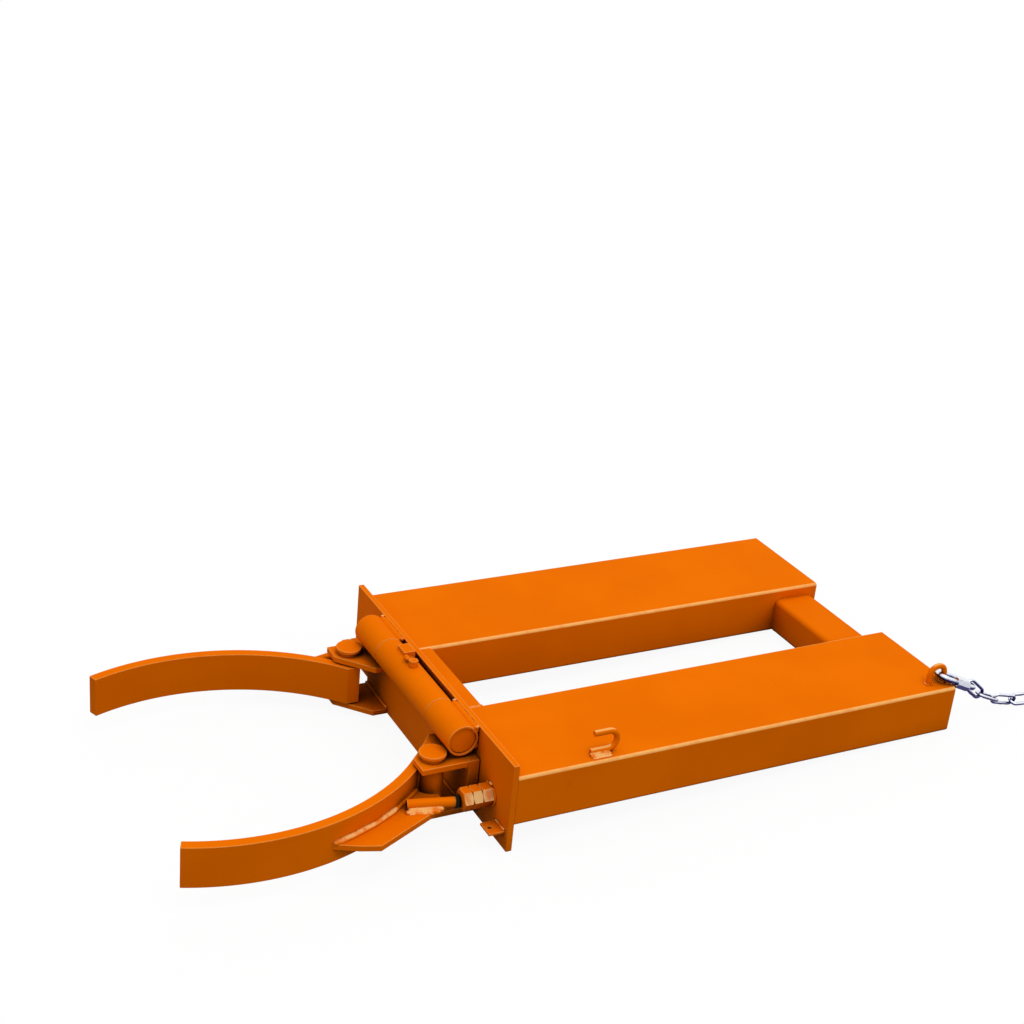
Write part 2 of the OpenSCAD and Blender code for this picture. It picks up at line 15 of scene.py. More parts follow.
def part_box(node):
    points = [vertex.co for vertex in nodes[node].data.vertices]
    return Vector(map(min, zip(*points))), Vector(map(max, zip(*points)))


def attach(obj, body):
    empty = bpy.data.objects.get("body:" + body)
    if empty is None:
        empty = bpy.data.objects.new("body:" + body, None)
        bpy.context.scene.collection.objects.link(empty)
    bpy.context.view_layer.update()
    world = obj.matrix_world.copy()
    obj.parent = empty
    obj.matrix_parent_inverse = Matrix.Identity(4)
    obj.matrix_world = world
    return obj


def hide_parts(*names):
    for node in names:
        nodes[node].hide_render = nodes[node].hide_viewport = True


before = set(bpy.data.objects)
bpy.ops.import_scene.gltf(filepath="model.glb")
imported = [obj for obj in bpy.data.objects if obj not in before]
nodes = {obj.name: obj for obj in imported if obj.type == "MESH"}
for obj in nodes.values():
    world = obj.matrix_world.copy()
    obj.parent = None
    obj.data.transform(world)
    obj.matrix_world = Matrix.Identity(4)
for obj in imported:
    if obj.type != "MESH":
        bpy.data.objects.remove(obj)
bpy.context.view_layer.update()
MM = 0.001
UP = Vector((0, 0, 1))

# Places are written in millimetres from the middle of the plate's back face,
# level with the sleeves' underside.
PLATE_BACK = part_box("front_plate")[1].y
SLEEVE_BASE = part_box("fork_sleeve_right")[0].z
PLATE_BELOW = SLEEVE_BASE / MM
SLEEVE_L = (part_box("fork_sleeve_right")[1].y - PLATE_BACK) / MM
PLATE_T = (PLATE_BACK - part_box("front_plate")[0].y) / MM
FLOOR_TILT = math.atan2(PLATE_BELOW, SLEEVE_L + PLATE_T)


def place(x, y, z):
    """The scene's point, in metres, for a place in millimetres."""
    return Vector((x * MM, PLATE_BACK + y * MM, SLEEVE_BASE + z * MM))


def add_object(name, data):
    """Puts a camera, a mesh or a lamp into the scene."""
    obj = bpy.data.objects.new(name, data)
    bpy.context.scene.collection.objects.link(obj)
    return obj


# Camera, fitted to the photograph

EYE = place(1782.2, -900.3, 1234.1)
LOOK_RIGHT = Vector((0.4492, 0.8891, 0.0884))
LOOK_UP = Vector((-0.4082, 0.1162, 0.9055))
LOOK_BACK = Vector((0.7947, -0.4428, 0.4151))
SENSOR_MM, FOCAL_MM, NEAR_M = 36, 60.78, 0.05

lens = bpy.data.cameras.new("photo_lens")
lens.sensor_width = SENSOR_MM
lens.lens = FOCAL_MM
lens.clip_start = NEAR_M
camera = add_object("photo_camera", lens)
turn = Matrix((LOOK_RIGHT, LOOK_UP, LOOK_BACK)).transposed().to_quaternion().to_matrix().to_4x4()
camera.matrix_world = Matrix.Translation(EYE) @ turn
bpy.context.scene.camera = camera


# Finishes

class Value:
    """A socket of a finish; arithmetic on it adds Math nodes."""

    def __init__(self, finish, socket):
        self.finish, self.socket = finish, socket

    def math(self, operation, *others, **settings):
        inputs = dict(enumerate((self, *others)))
        return self.finish.make("ShaderNodeMath", {"operation": operation, **settings}, inputs)

    def __add__(self, other):
        return self.math("ADD", other)

    __radd__ = __add__

    def __mul__(self, other):
        return self.math("MULTIPLY", other)

    __rmul__ = __mul__

    def __sub__(self, other):
        return self.math("SUBTRACT", other)

    def __rsub__(self, other):
        return self.finish.make("ShaderNodeMath", {"operation": "SUBTRACT"}, {0: other, 1: self})

    def clipped(self):
        """Held between 0 and 1."""
        return self.math("MULTIPLY", 1.0, use_clamp=True)


class Finish:
    """The nodes of one material, or of the studio's air, and the one way that nodes are added."""

    def __init__(self, owner):
        self.owner = owner
        owner.use_nodes = True
        self.tree = owner.node_tree
        self.tree.nodes.clear()

    def make(self, kind, settings=None, sockets=None, out=0):
        """Adds a node with its settings, links or fills its sockets, and hands on one output."""
        node = self.tree.nodes.new(kind)
        for key, value in (settings or {}).items():
            setattr(node, key, value)
        for key, value in (sockets or {}).items():
            if isinstance(value, Value):
                self.tree.links.new(value.socket, node.inputs[key])
            else:
                node.inputs[key].default_value = value
        return Value(self, node.outputs[out]) if node.outputs else None

    def mix(self, share, first, second):
        """A colour between two; the Mix node's colour sockets are 6 and 7, and 2 going out."""
        return self.make(
            "ShaderNodeMix", {"data_type": "RGBA"}, {0: share, 6: first, 7: second}, out=2
        )

    def along(self, vector, axis):
        """A vector's share along the axis X, Y or Z."""
        return self.make("ShaderNodeSeparateXYZ", None, {0: vector}, out=axis)

    def spots(self, scale, detail=2.0, rough=0.5):
        """Noise from 0 to 1 in the part's own space; scale is in blobs per metre."""
        where = self.make("ShaderNodeTexCoord", out="Object")
        return self.make(
            "ShaderNodeTexNoise",
            None,
            {"Vector": where, "Scale": scale, "Detail": detail, "Roughness": rough},
        )

    def between(self, value, low, high):
        """0 below low, 1 above high, and smooth in between."""
        return self.make(
            "ShaderNodeMapRange",
            {"interpolation_type": "SMOOTHSTEP"},
            {"Value": value, "From Min": low, "From Max": high},
        )

    def bump(self, height, strength, distance, below=None):
        """A fine relief, on top of the one below."""
        sockets = {"Height": height, "Strength": strength, "Distance": distance}
        if below:
            sockets["Normal"] = below
        return self.make("ShaderNodeBump", None, sockets)

    def surface(self, **sockets):
        """Closes the material with its one surface."""
        shader = self.make("ShaderNodeBsdfPrincipled", None, sockets)
        self.make("ShaderNodeOutputMaterial", None, {"Surface": shader})
        return self.owner


def linear(red, green, blue):
    """A colour written in the 0 to 255 values seen on a screen."""
    parts = [c / 255 for c in (red, green, blue)]
    return (*[c / 12.92 if c <= 0.04045 else ((c + 0.055) / 1.055) ** 2.4 for c in parts], 1)


ENAMEL = linear(241, 115, 0)
ENAMEL_DEEP = linear(234, 109, 0)
ENAMEL_PALE = linear(250, 128, 4)
# Painted highlights: on a nut's upper flats, on sharp edges, on rolled corners and bar tops, and on
# welds
WORN_HIGHLIT = linear(255, 212, 142)
EDGE_HIGHLIGHT = linear(255, 194, 104)
ROUND_HIGHLIGHT = linear(255, 191, 110)
WELD_HIGHLIGHT = linear(255, 204, 128)
GRIME = linear(96, 40, 2)
# Painted shade, put into the nooks
NOOK_PAINTED_SHADE = linear(30, 18, 1)
# Zinc: the dark is painted shade for the undersides, the bright is the lit tops
ZINC_BRIGHT, ZINC_PAINTED_SHADE = linear(236, 239, 248), linear(27, 17, 92)
RUBBER_BLACK, RUBBER_DUST = linear(20, 17, 16), linear(52, 42, 36)

# Scales of the noise, in blobs per metre, and depths of the relief, in metres
CLOUDS, RUNS, PATCHES, WEAR = 7.0, 70.0, 62.0, 85.0
ENAMEL_GRAIN, PEEL, RIPPLES = 1100.0, 420.0, 260.0
STAINS, ZINC_GRAIN = 220.0, 700.0
DUST, RUBBER_GRAIN = 300.0, 1200.0
PEEL_DEPTH, RIPPLE_DEPTH, GRAIN_DEPTH = 0.0006, 0.0012, 0.0003

RAY_SAMPLES = 6
EDGE_REACH, EDGE_UNLIT = 0.0021, 0.12
NOOK_REACH, NOOK_SHARE = 0.07, 0.96
GRAIN_SHARE, GRIME_SHARE, DUST_SHARE = 0.3, 0.08, 0.5
ENAMEL_METALLIC, ENAMEL_GLOSS, RUBBER_GLOSS = 0.05, 0.0, 0.12


def edge_highlight_mask(f, runs):
    """Painted highlight on a sharp edge: most where the edge looks up, broken by the runs."""
    soft = f.make("ShaderNodeBevel", {"samples": RAY_SAMPLES}, {"Radius": EDGE_REACH})
    plain = f.make("ShaderNodeNewGeometry", out="Normal")
    same = f.make(
        "ShaderNodeVectorMath", {"operation": "DOT_PRODUCT"}, {0: soft, 1: plain}, out="Value"
    )
    lit = f.between(f.along(soft, "Z"), 0.08, 0.5)
    rim = f.between(1 - same, 0.01, 0.07) * f.between(runs, 0.12, 0.46)
    return rim * (EDGE_UNLIT + (1 - EDGE_UNLIT) * lit)


def painted_nook_shade(f):
    """Painted shade: a dark colour in the places that little light reaches."""
    shelter = f.make(
        "ShaderNodeAmbientOcclusion", {"samples": RAY_SAMPLES}, {"Distance": NOOK_REACH}, out="AO"
    )
    return NOOK_SHARE * f.between(1 - shelter, 0.36, 0.88)


def enamel(name, edge=0.0, rounds=0.0, crest=0.0, worn_highlit_flats=0.0, pale=0.0, ripple=0.0):
    """Sprayed orange enamel.

    Painted highlights lighten sharp edges (edge), most where they look up, a sleeve's rolled
    upper corners (rounds) and the top of a bent bar (crest). The flats of a nut that face up and
    sideways get a painted highlight, stronger in worn patches; pale puts painted highlights on the
    upward patches of a weld, and ripple is the relief of a weld. Painted shade darkens the nooks.
    """
    f = Finish(bpy.data.materials.new(name))
    cloud = f.spots(CLOUDS)
    grain = f.spots(ENAMEL_GRAIN, rough=0.6)
    runs = f.spots(RUNS, 3.0, 0.55)
    own_normal = f.make("ShaderNodeTexCoord", out="Normal")
    upward = f.along(own_normal, "Z")
    sideways = f.along(own_normal, "X").math("ABSOLUTE")
    tone = f.mix(f.between(cloud, 0.3, 0.7), ENAMEL_DEEP, ENAMEL)
    tone = f.mix(f.between(grain, 0.45, 0.8) * GRAIN_SHARE, tone, ENAMEL_PALE)
    tone = f.mix(f.between(runs, 0.66, 0.8) * GRIME_SHARE, tone, GRIME)
    rough = 0.34 + 0.14 * runs
    if edge:
        # painted highlight along the sharp edges
        tone = f.mix(edge * edge_highlight_mask(f, runs), tone, EDGE_HIGHLIGHT)
    if rounds:
        # painted highlight on the rolled upper corners
        band = f.between(sideways * upward, 0.1, 0.34)
        tone = f.mix(rounds * band * (0.75 + 0.25 * f.between(runs, 0.3, 0.6)), tone, ROUND_HIGHLIGHT)
    if crest:
        # painted highlight along the top of a bent bar
        tone = f.mix(crest * f.between(upward, 0.7, 0.92), tone, ROUND_HIGHLIGHT)
    if pale:
        # painted highlight on a weld's upward patches
        patch = f.between(f.spots(PATCHES), 0.36, 0.56) * f.between(upward, 0.2, 0.7)
        tone = f.mix(pale * patch, tone, WELD_HIGHLIGHT)
    if worn_highlit_flats:
        # painted highlight on a nut's upper and side flats, stronger in worn, smoother patches
        flat = f.between(0.87 * sideways + 0.5 * upward, 0.8, 0.96)
        worn_highlit_share = flat * (0.4 + 0.6 * f.between(f.spots(WEAR, 1.0, 0.4), 0.36, 0.62))
        tone = f.mix(worn_highlit_flats * worn_highlit_share, tone, WORN_HIGHLIT)
        rough = rough - 0.08 * worn_highlit_share
    # painted shade in the nooks
    tone = f.mix(painted_nook_shade(f), tone, NOOK_PAINTED_SHADE)
    skin = f.bump(f.spots(PEEL), 0.08, PEEL_DEPTH)
    skin = f.bump(grain, 0.08, GRAIN_DEPTH, skin)
    if ripple:
        skin = f.bump(f.spots(RIPPLES, 3.0, 0.6), ripple, RIPPLE_DEPTH, skin)
    return f.surface(**{
        "Base Color": tone, "Roughness": rough, "Normal": skin,
        "Metallic": ENAMEL_METALLIC, "Specular IOR Level": ENAMEL_GLOSS,
    })


def zinc_plate(name):
    """Bright zinc with painted shade: a bluish dark on the undersides, lighter towards the tops."""
    f = Finish(bpy.data.materials.new(name))
    stain = f.spots(STAINS, 3.0)
    upward = f.along(f.make("ShaderNodeTexCoord", out="Normal"), "Z")
    # painted shade on the undersides, lighter towards the tops
    tone = f.mix(f.between(upward + 0.3 * stain, 0.16, 0.82), ZINC_PAINTED_SHADE, ZINC_BRIGHT)
    skin = f.bump(f.spots(ZINC_GRAIN), 0.06, GRAIN_DEPTH)
    return f.surface(**{
        "Base Color": tone, "Roughness": 0.14 + 0.14 * stain, "Normal": skin, "Metallic": 1.0,
    })


def rubber(name):
    """Black rubber with a little dust in its grain."""
    f = Finish(bpy.data.materials.new(name))
    dust = f.spots(DUST, 4.0, 0.6)
    tone = f.mix(f.between(dust, 0.45, 0.8) * DUST_SHARE, RUBBER_BLACK, RUBBER_DUST)
    skin = f.bump(f.spots(RUBBER_GRAIN), 0.25, GRAIN_DEPTH)
    return f.surface(**{
        "Base Color": tone, "Roughness": 0.7 + 0.2 * dust, "Normal": skin,
        "Specular IOR Level": RUBBER_GLOSS,
    })


orange_enamel = enamel("orange_enamel", edge=0.62)
sleeve_enamel = enamel("sleeve_enamel", edge=0.3, rounds=0.9)
bar_enamel = enamel("bent_bar_enamel", edge=0.5, crest=0.75)
smooth_enamel = enamel("smooth_weld_enamel")
bolt_enamel = enamel("worn_highlit_bolt_enamel", edge=0.5, worn_highlit_flats=0.9)
weld_enamel = enamel("weld_enamel", pale=0.72, ripple=0.12)
bright_zinc = zinc_plate("bright_zinc")
black_rubber = rubber("black_rubber")


# Ways to build pieces

def finish_piece(obj, material):
    """Gives a piece its one material."""
    obj.data.materials.clear()
    obj.data.materials.append(material)


def circle(centre, across, up, radius, sides):
    """Points round a centre, in the plane of two directions."""
    angles = [2 * math.pi * k / sides for k in range(sides)]
    return [centre + (across * math.cos(a) + up * math.sin(a)) * radius for a in angles]


def add_skin(mesh, rings):
    """Faces between each ring of points and the next."""
    for first, second in zip(rings, rings[1:]):
        for k in range(len(first)):
            n = (k + 1) % len(first)
            mesh.faces.new((first[k], second[k], second[n], first[n]))


def piece_from(name, mesh, body, material, angle):
    """A piece that rides a body; its faces run smoothly into each other up to the angle."""
    bmesh.ops.recalc_face_normals(mesh, faces=mesh.faces)
    data = bpy.data.meshes.new(name)
    mesh.to_mesh(data)
    mesh.free()
    data.polygons.foreach_set("use_smooth", [True] * len(data.polygons))
    data.set_sharp_from_angle(angle=math.radians(angle))
    obj = add_object(name, data)
    finish_piece(obj, material)
    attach(obj, body)
    return obj


# Chain: the same links as the part's own, with a weld on each link

LINK_WIRE, LINK_W, LINK_IN, LINK_PLAY = 5.0, 20.0, 34.0, 0.7
LINK_STEP = LINK_IN - LINK_PLAY
LINKS = 30
STRAIGHT_LINKS, LEAD_LINKS = 2, 8
QUICK_FRONT, QUICK_SPAN = (228.0, 668.6, 82.8), 70.0
QUICK_SLOPE = math.radians(24.6)
CHAIN_HANG = 4.5
LIE_TILT, LIE_GAP = 45.0, 0.3
LIE_Z = (LINK_W - LINK_WIRE) / 2 * math.sin(math.radians(LIE_TILT)) + LINK_WIRE / 2 + LIE_GAP
TILT_AFTER, TILT_OVER = 1, 3
DROP_SHARE = (0.50, 0.32, 0.18)
LEAD_TURN, COIL_TURN, COIL_MORE = 6.0, 16.0, 0.42
WIRE_SIDES, BEND_STEPS, WIRE_ANGLE = 10, 9, 45
SIDE_STEPS = (-1.0, -0.35, -0.18, 0.0, 0.18, 0.35)
LINK_WELD_END, LINK_WELD_SWELL = 0.2, 0.13

floor_frame = Matrix.Translation(place(0, SLEEVE_L, 0)) @ Matrix.Rotation(FLOOR_TILT, 4, "X")
quick_eye = place(
    QUICK_FRONT[0],
    QUICK_FRONT[1] + QUICK_SPAN * math.cos(QUICK_SLOPE),
    QUICK_FRONT[2] - QUICK_SPAN * math.sin(QUICK_SLOPE),
)


def chain_links():
    """Each link's place, and the points of the line through the chain."""
    eye = floor_frame.inverted() @ quick_eye
    drop = (eye.z - LIE_Z * MM) / (1 - CHAIN_HANG * DROP_SHARE[0] / LINK_STEP)
    yaw, joint, places, line = 0.0, None, [], []
    for i in range(LINKS):
        pitch = 0.0
        if i < len(DROP_SHARE):
            pitch = -math.asin(DROP_SHARE[i] * drop / (LINK_STEP * MM))
        if i >= LEAD_LINKS:
            yaw += math.radians(COIL_TURN + COIL_MORE * (i - LEAD_LINKS))
        elif i >= STRAIGHT_LINKS:
            yaw += math.radians(LEAD_TURN)
        lean = LIE_TILT * min(max(i - TILT_AFTER, 0) / TILT_OVER, 1)
        roll = math.radians((i % 2) * 90 + lean)
        level = math.cos(pitch)
        ahead = Vector((math.sin(yaw) * level, math.cos(yaw) * level, math.sin(pitch)))
        if joint is None:
            joint = eye - ahead * (CHAIN_HANG * MM)
            line.append(floor_frame @ joint)
        middle = joint + ahead * (LINK_STEP * MM / 2)
        spin = (
            Matrix.Rotation(-yaw, 4, "Z") @ Matrix.Rotation(pitch, 4, "X")
            @ Matrix.Rotation(math.pi / 2 + roll, 4, "Y")
        )
        places.append(floor_frame @ Matrix.Translation(middle) @ spin)
        joint = joint + ahead * (LINK_STEP * MM)
        line += [floor_frame @ middle, floor_frame @ joint]
    return places, line


def link_line():
    """Points round a link's wire in XY, its long way along Y, and the wire's thickness at each."""
    r, half = (LINK_W - LINK_WIRE) / 2, (LINK_IN + 2 * LINK_WIRE - LINK_W) / 2
    bend = [math.pi * k / BEND_STEPS for k in range(BEND_STEPS)]
    points = [(r, y * half, 1 + LINK_WELD_SWELL * (abs(y) < LINK_WELD_END)) for y in SIDE_STEPS]
    points += [(r * math.cos(a), half + r * math.sin(a), 1) for a in bend]
    points += [(-r, half, 1), (-r, 0, 1)]
    points += [(-r * math.cos(a), -half - r * math.sin(a), 1) for a in bend]
    return points


def add_link(mesh, line, spot):
    """One link, a closed tube round its flat line, at its place in the chain."""
    rings = []
    for i, (x, y, thick) in enumerate(line):
        ahead = Vector(line[(i + 1) % len(line)][:2]) - Vector(line[i - 1][:2])
        out = Vector((ahead.y, -ahead.x, 0)).normalized()
        ring = circle(Vector((x, y, 0)), out, UP, LINK_WIRE / 2 * thick, WIRE_SIDES)
        rings.append([mesh.verts.new(spot @ (point * MM)) for point in ring])
    add_skin(mesh, rings + rings[:1])


def make_chain():
    """The chain from the quick link to its loose coil on the floor."""
    places, line = chain_links()
    mesh, wire = bmesh.new(), link_line()
    for spot in places:
        add_link(mesh, wire, spot)
    chain = piece_from("securing_chain", mesh, "frame", bright_zinc, WIRE_ANGLE)
    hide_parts("chain_drop", "chain_coil")


make_chain()


# Edges and finishes of the part's own pieces

CHAIN_NODES = ("chain_drop", "chain_coil")
LOOK_OF = {
    "buffer": black_rubber,
    "quick_link": bright_zinc, "quick_link_nut": bright_zinc, "split_pin": bright_zinc,
    "weld_nut": bolt_enamel, "lock_nut": bolt_enamel, "adjusting_bolt": bolt_enamel,
    "chain_hook": bar_enamel, "chain_lug": bar_enamel,
    "fork_sleeve": sleeve_enamel,
}
EDGE_WIDTH = {
    "fork_sleeve": 0.9, "front_plate": 0.8, "front_cross_member": 0.6, "rear_cross_bar": 0.6,
    "hinge_knuckle": 0.6, "centre_knuckle": 0.6, "stop_lug": 0.7, "tab": 0.4,
    "weld_nut": 0.5, "lock_nut": 0.5, "adjusting_bolt": 0.5,
    "carrier_bar": 0.7, "upper_clevis": 0.8, "lower_clevis": 0.8, "pivot_pin": 0.5,
    "jaw": 0.9, "lever_plate": 0.8,
}
SAME_POINT = 1e-6
FLAT_ANGLE, SHARP_ANGLE = math.radians(0.2), math.radians(40)
EDGE_SEGMENTS, FLAT_WEIGHT = 2, 80


def soften(obj, width):
    """Rounds the sharp edges a little, as paint and handling do, and keeps the flats even."""
    join = obj.modifiers.new("join", "WELD")
    join.merge_threshold = SAME_POINT
    flats = obj.modifiers.new("flats", "DECIMATE")
    flats.decimate_type = "DISSOLVE"
    flats.angle_limit = FLAT_ANGLE
    edge = obj.modifiers.new("edge", "BEVEL")
    edge.width = width * MM
    edge.segments = EDGE_SEGMENTS
    edge.limit_method = "ANGLE"
    edge.angle_limit = SHARP_ANGLE
    edge.harden_normals = True
    even = obj.modifiers.new("even", "WEIGHTED_NORMAL")
    even.keep_sharp = True
    even.weight = FLAT_WEIGHT


for name, obj in nodes.items():
    if name in CHAIN_NODES:
        continue
    stem = name.removesuffix("_left").removesuffix("_right")
    finish_piece(obj, LOOK_OF.get(stem, orange_enamel))
    if stem in EDGE_WIDTH:
        soften(obj, EDGE_WIDTH[stem])


# Weld beads, built as closed rippled tubes that sink into the two pieces they join

HINGE_Y, HINGE_Z, HINGE_R = -30.2, 71.2, 21.2
PIVOT_X, PIVOT_Y, HUB_R, HUB_GAP = 140.0, -65.0, 16.0, 0.5
ARC_X, ARC_Y, JAW_OUT = -85.44, -295.22, 310.0
LEVER_TOP, LEVER_BASE = 6.5, -1.5
ROD_START, ROD_WAY = Vector((179.5, -115.2, 0)), Vector((14.25, 59.4, 0)).normalized()
BOLT_X, BOLT_Z, NUT_R, NUT_SEAM_Y = 196.0, 16.0, 15.0, -8.8

BEAD_STEP, BEAD_SIDES, FILL_SIDES = 0.85, 10, 14
BEAD_BODY, RIPPLE_SHARE, DRIFT_SHARE, SWAY_SHARE = 0.92, 0.09, 0.22, 0.35
DRIFT_KEEPS, SWAY_KEEPS = 0.86, 0.9
RIPPLE_LENGTH, RIPPLE_SHIFT = 3.4, 6.28
DOME_LENGTH, DOME_TIP, SWELL_LENGTH = 0.9, 0.12, 1.6
LAST_STEP = 0.3
ACROSS_ALL = Vector((0.31, 0.42, 0.85))
PAINT_SLOT, WELD_ANGLE, WELD_SEED = "orange_paint", 70, 11
welder = random.Random(WELD_SEED)


def walk(corners, step):
    """Evenly spaced points along a line through the given corners."""
    points, left = [corners[0].copy()], step
    for a, b in zip(corners, corners[1:]):
        length = (b - a).length
        while left <= length:
            points.append(a.lerp(b, left / length))
            left += step
        left -= length
    if (points[-1] - corners[-1]).length > step * LAST_STEP:
        points.append(corners[-1].copy())
    return points


def add_bead(mesh, corners, radius, swell=1.0, sides=BEAD_SIDES):
    """One weld run along its corners; swell widens its two ends."""
    points = walk([Vector(c) for c in corners], BEAD_STEP)
    total = len(points) - 1
    phase, drift, sway, rings = welder.random() * RIPPLE_SHIFT, 0.0, 0.0, []
    for i, point in enumerate(points):
        ahead = (points[min(i + 1, total)] - points[max(i - 1, 0)]).normalized()
        side = ahead.cross(ACROSS_ALL).normalized()
        drift = DRIFT_KEEPS * drift + (1 - DRIFT_KEEPS) * welder.uniform(-1, 1)
        sway = SWAY_KEEPS * sway + (1 - SWAY_KEEPS) * welder.uniform(-1, 1)
        from_end = min(i, total - i) * BEAD_STEP
        short = 1 - min(from_end / (DOME_LENGTH * radius), 1)
        dome = max(math.sqrt(1 - short ** 2), DOME_TIP)
        blob = 1 + (swell - 1) * math.exp(-(from_end / (SWELL_LENGTH * radius)) ** 2)
        wave = abs(math.sin(math.pi * i * BEAD_STEP / RIPPLE_LENGTH + phase))
        r = radius * (BEAD_BODY + RIPPLE_SHARE * wave + DRIFT_SHARE * drift) * dome * blob
        centre = point + side * sway * radius * SWAY_SHARE
        ring = circle(centre, side, side.cross(ahead), r, sides)
        rings.append([mesh.verts.new(place(*spot)) for spot in ring])
    add_skin(mesh, rings)
    mesh.faces.new(rings[0])
    mesh.faces.new(rings[-1][::-1])


def weld_piece(name, body, material, runs):
    """One piece of weld runs; each has its corners, its radius and any more that add_bead takes."""
    mesh = bmesh.new()
    for corners, radius, *more in runs:
        add_bead(mesh, corners, radius, *more)
    piece_from(name, mesh, body, material, WELD_ANGLE)


def on_side(side, corners):
    """A line drawn for the right: as it is for side 1, mirrored to the left for side -1."""
    return [(side * x, y, z) for x, y, z in corners]


def both_sides(corners, radius, *more):
    """A run on the right and its like on the left."""
    return [(on_side(side, corners), radius, *more) for side in (1, -1)]


def directions(start, end, count):
    """Angles from start to end, which are in degrees."""
    return [math.radians(start + (end - start) * k / count) for k in range(count + 1)]


def level_arc(x, y, z, radius, start, end, count):
    """Points on a level arc."""
    span = directions(start, end, count)
    return [(x + radius * math.cos(a), y + radius * math.sin(a), z) for a in span]


def nut_seam(start, end, count=14):
    """Points round the weld nut's foot, on the plate's front."""
    span = directions(start, end, count)
    return [(BOLT_X + NUT_R * math.cos(a), NUT_SEAM_Y, BOLT_Z + NUT_R * math.sin(a)) for a in span]


def on_tube(x, y, off):
    """A point on the upper skin of the hinge tube, raised by off."""
    a = math.acos((y - HINGE_Y) / HINGE_R)
    return (x, HINGE_Y + (HINGE_R + off) * math.cos(a), HINGE_Z + (HINGE_R + off) * math.sin(a))


def frame_welds():
    """The welds of the frame: those with painted highlights and the smooth ones under the paint."""
    # these runs take the weld finish's painted highlights
    highlit_runs = []
    # ends of the fill between hinge tube and plate
    for x in (84.0, 152.0):
        highlit_runs += both_sides([(x - 2, -11.4, 86.9), (x + 2, -11.4, 86.9)], 3.6)
    # front cross member to sleeve, on top and behind, then plate to sleeve
    highlit_runs += both_sides([(80.5, 1, 66.8), (80.5, 33, 66.8)], 3.4, 1.2)
    highlit_runs += both_sides([(79, 34.6, 10), (79, 34.6, 62)], 2.8, 1.1)
    highlit_runs += both_sides([(90, 1.2, 71.2), (238, 1.2, 71.2)], 3.0, 1.1)
    # over the weld nut, then the tab's two edges
    highlit_runs += both_sides(nut_seam(75, 100), 1.7, 1.3)
    highlit_runs += both_sides([(217, -8.8, -9.4), (241, -8.8, -9.4)], 1.6, 1.5)
    highlit_runs += both_sides([(217, -8.6, -13.4), (241, -8.6, -13.4)], 1.5, 1.1)
    # along the hook's foot, then round the lug's two legs
    for x, z, radius, first in (
        (234.8, 71.8, 3.4, 106.5), (238.4, 70.8, 3.0, 106.5),
        (241.6, 69.9, 2.6, 107), (227.0, 71.2, 2.2, 112),
    ):
        highlit_runs += [([(x, first, z), (x, 135, z)], radius)]
    highlit_runs += [(level_arc(228, y, 70.7, 4.9, 0, 355, 20), 1.5) for y in (652, 677)]
    weld_piece("frame_welds", "frame", weld_enamel, highlit_runs)

    smooth = []
    # the fill between hinge tube and plate, above and below
    for y, z, radius in ((-12.3, 82.6, 6.4), (-11.0, 59.6, 4.2)):
        smooth += both_sides([(83, y, z), (153, y, z)], radius, 1.0, FILL_SIDES)
    # rear cross bar to sleeve, behind and underneath, then the rest of the weld nut
    smooth += both_sides([(78.4, 676.2, 4), (78.4, 676.2, 49)], 1.8)
    smooth += both_sides([(78.4, 614, 0.4), (78.4, 668, 1.6)], 1.6)
    for start, end in ((-60, 60), (115, 230)):
        smooth += both_sides(nut_seam(start, end), 1.6)
    weld_piece("smooth_welds", "frame", smooth_enamel, smooth)


def carrier_welds():
    """The welds of the carrier: the ends with painted highlights and the smooth runs."""
    ends = []
    for x, z in ((90, -20.4), (160.5, 36.4), (160.5, -20.4)):
        ends += both_sides([(x - 1.5, -26, z), (x + 1.5, -26, z)], 2.6)
    weld_piece("carrier_weld_ends", "carrier", weld_enamel, ends)

    # carrier bar to middle knuckle, in front and behind, then clevis plates to bar
    smooth = [
        ([(-76, -26, 49.6), (76, -26, 49.6)], 2.9),
        ([(-76, -9.8, 51.5), (76, -9.8, 51.5)], 1.0),
    ]
    for z in (37.0, -20.8):
        smooth += both_sides([(90, -25.6, z), (160.5, -25.6, z)], 2.8)
    # round the stop lug's foot
    smooth += [([(-54, -32.0, 92.0), (-32, -32.0, 92.0)], 1.4)]
    for x in (-54.7, -31.3):
        smooth += [([on_tube(x, y, 0.2) for y in (-31.4, -28, -24, -20, -16.5)], 1.3)]
    weld_piece("carrier_welds", "carrier", smooth_enamel, smooth)


def hub_seams():
    """Where the hub's round meets the jaw's outer skin: the tip side and the root side."""
    dx, dy = PIVOT_X - ARC_X, PIVOT_Y - ARC_Y
    gap = math.hypot(dx, dy)
    along = (gap * gap + JAW_OUT ** 2 - (HUB_R + HUB_GAP) ** 2) / (2 * gap)
    across = math.sqrt(JAW_OUT ** 2 - along ** 2)
    ux, uy = dx / gap, dy / gap
    return [
        (ARC_X + ux * along + sign * uy * across, ARC_Y + uy * along - sign * ux * across)
        for sign in (1, -1)
    ]


def jaw_seam(off, start, end, z, count):
    """Points along the jaw's outer skin, off it by a little."""
    return level_arc(ARC_X, ARC_Y, z, JAW_OUT + off, start, end, count)


